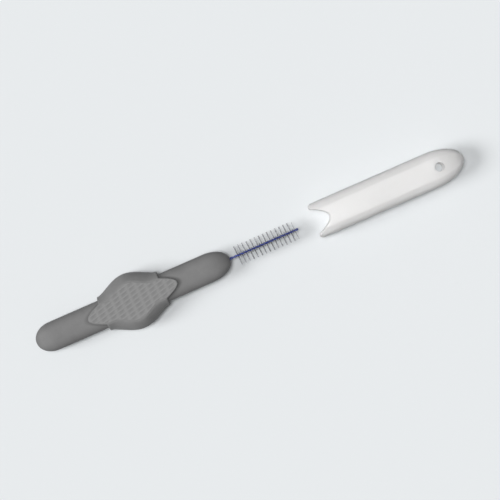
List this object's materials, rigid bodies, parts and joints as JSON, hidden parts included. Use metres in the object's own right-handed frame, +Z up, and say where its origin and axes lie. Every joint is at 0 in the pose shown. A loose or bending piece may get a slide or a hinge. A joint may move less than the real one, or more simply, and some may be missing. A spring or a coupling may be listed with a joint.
{
  "type": "interdental brush",
  "caption": "Small twisted-wire brush on a slim flat handle with a diamond-shaped soft grip, and a notched push-on cap that slides over the wire and seats against the grip.",
  "frame": {"origin": "on the surface that the brush lies on, under the middle of the grip", "axes": "+X along the brush from the tail to the wire's tip and on through the cap, +Y across the grip's wings, +Z up, square to the grip's flat pads"},
  "size_m": [0.1074, 0.0134, 0.0066],
  "materials": {
    "handle_plastic": "matt grey moulded plastic",
    "soft_grip": "matt grey soft-touch elastomer, finely ribbed on the pads",
    "steel": "bright drawn wire",
    "wire_plastic": "glossy navy coating",
    "nylon": "clear white filament",
    "cap_plastic": "milky translucent moulded plastic"
  },
  "bodies": {
    "brush": {"handle_core": "handle_plastic", "grip_sleeve": "soft_grip", "steel_wire": "steel", "wire_coating": "wire_plastic", "bristles": "nylon"},
    "cap": {"cap": "cap_plastic"}
  },
  "joints": [
    {"name": "cap_slide", "type": "slide", "parent": "brush", "child": "cap", "axis": [-1, 0, 0], "range_m": [0, 0.0379]}
  ]
}
